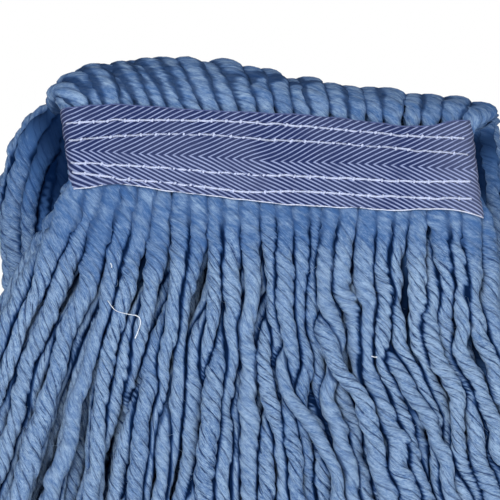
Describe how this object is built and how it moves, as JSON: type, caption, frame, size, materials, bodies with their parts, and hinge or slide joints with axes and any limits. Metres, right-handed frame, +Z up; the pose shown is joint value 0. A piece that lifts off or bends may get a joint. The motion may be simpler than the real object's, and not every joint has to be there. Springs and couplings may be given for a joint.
{
  "type": "string mop head",
  "caption": "Loose looped-end string mop head: cotton-type yarn sewn into a narrow twill headband for a clamp handle, hanging in a front and a back skirt.",
  "frame": {"origin": "centre of the headband's front face, where the outer jaw of a mop clamp bears", "axes": "+Z up with the mop hanging, +X along the headband, -Y out of the front face"},
  "size_m": [0.2778, 0.0453, 0.4512],
  "materials": {
    "yarn": "soft four-ply cotton and synthetic yarn, mid blue",
    "band_tape": "herringbone twill tape, navy with pale lavender ribs",
    "tail_tape": "plain woven tape, blue",
    "stitching": "pale grey-lavender sewing thread",
    "loose_thread": "white sewing thread"
  },
  "bodies": {
    "headband": {"headband_front_tape": "band_tape", "headband_back_tape": "band_tape", "stitch_row_1": "stitching", "stitch_row_2": "stitching", "stitch_row_3": "stitching", "stitch_row_4": "stitching", "headband_yarn": "yarn", "crest_yarn_outer": "yarn", "crest_yarn_middle": "yarn", "crest_yarn_inner": "yarn"},
    "front_skirt": {"front_yarn_outer": "yarn", "front_yarn_middle": "yarn", "front_yarn_inner": "yarn", "front_tail_tape_outer": "tail_tape", "front_tail_tape_inner": "tail_tape", "front_tail_stitches": "stitching", "loose_thread_end": "loose_thread"},
    "front_lock_1": {"front_loops_1": "yarn"},
    "front_lock_2": {"front_loops_2": "yarn"},
    "front_lock_3": {"front_loops_3": "yarn"},
    "front_lock_4": {"front_loops_4": "yarn"},
    "front_lock_5": {"front_loops_5": "yarn"},
    "front_lock_6": {"front_loops_6": "yarn"},
    "back_skirt": {"back_yarn_outer": "yarn", "back_yarn_middle": "yarn", "back_yarn_inner": "yarn", "back_tail_tape_outer": "tail_tape", "back_tail_tape_inner": "tail_tape", "back_tail_stitches": "stitching"},
    "back_lock_1": {"back_loops_1": "yarn"},
    "back_lock_2": {"back_loops_2": "yarn"},
    "back_lock_3": {"back_loops_3": "yarn"},
    "back_lock_4": {"back_loops_4": "yarn"},
    "back_lock_5": {"back_loops_5": "yarn"},
    "back_lock_6": {"back_loops_6": "yarn"}
  },
  "joints": [
    {"name": "front_skirt_swing", "type": "hinge", "parent": "headband", "child": "front_skirt", "pos_m": [0, 0, -0.0165], "axis": [-1, 0, 0], "range_deg": [0, 90]},
    {"name": "front_lock_1_swing", "type": "hinge", "parent": "front_skirt", "child": "front_lock_1", "pos_m": [-0.115, 0.0003, -0.2585], "axis": [-1, 0, 0], "range_deg": [0, 45]},
    {"name": "front_lock_2_swing", "type": "hinge", "parent": "front_skirt", "child": "front_lock_2", "pos_m": [-0.069, 0.0003, -0.2585], "axis": [-1, 0, 0], "range_deg": [0, 45]},
    {"name": "front_lock_3_swing", "type": "hinge", "parent": "front_skirt", "child": "front_lock_3", "pos_m": [-0.023, 0.0003, -0.2585], "axis": [-1, 0, 0], "range_deg": [0, 45]},
    {"name": "front_lock_4_swing", "type": "hinge", "parent": "front_skirt", "child": "front_lock_4", "pos_m": [0.023, 0.0003, -0.2585], "axis": [-1, 0, 0], "range_deg": [0, 45]},
    {"name": "front_lock_5_swing", "type": "hinge", "parent": "front_skirt", "child": "front_lock_5", "pos_m": [0.069, 0.0003, -0.2585], "axis": [-1, 0, 0], "range_deg": [0, 45]},
    {"name": "front_lock_6_swing", "type": "hinge", "parent": "front_skirt", "child": "front_lock_6", "pos_m": [0.115, 0.0003, -0.2585], "axis": [-1, 0, 0], "range_deg": [0, 45]},
    {"name": "back_skirt_swing", "type": "hinge", "parent": "headband", "child": "back_skirt", "pos_m": [0, 0.0453, 0.0155], "axis": [1, 0, 0], "range_deg": [0, 90]},
    {"name": "back_lock_1_swing", "type": "hinge", "parent": "back_skirt", "child": "back_lock_1", "pos_m": [-0.115, 0.0453, -0.2585], "axis": [1, 0, 0], "range_deg": [0, 45]},
    {"name": "back_lock_2_swing", "type": "hinge", "parent": "back_skirt", "child": "back_lock_2", "pos_m": [-0.069, 0.0453, -0.2585], "axis": [1, 0, 0], "range_deg": [0, 45]},
    {"name": "back_lock_3_swing", "type": "hinge", "parent": "back_skirt", "child": "back_lock_3", "pos_m": [-0.023, 0.0453, -0.2585], "axis": [1, 0, 0], "range_deg": [0, 45]},
    {"name": "back_lock_4_swing", "type": "hinge", "parent": "back_skirt", "child": "back_lock_4", "pos_m": [0.023, 0.0453, -0.2585], "axis": [1, 0, 0], "range_deg": [0, 45]},
    {"name": "back_lock_5_swing", "type": "hinge", "parent": "back_skirt", "child": "back_lock_5", "pos_m": [0.069, 0.0453, -0.2585], "axis": [1, 0, 0], "range_deg": [0, 45]},
    {"name": "back_lock_6_swing", "type": "hinge", "parent": "back_skirt", "child": "back_lock_6", "pos_m": [0.115, 0.0453, -0.2585], "axis": [1, 0, 0], "range_deg": [0, 45]}
  ]
}
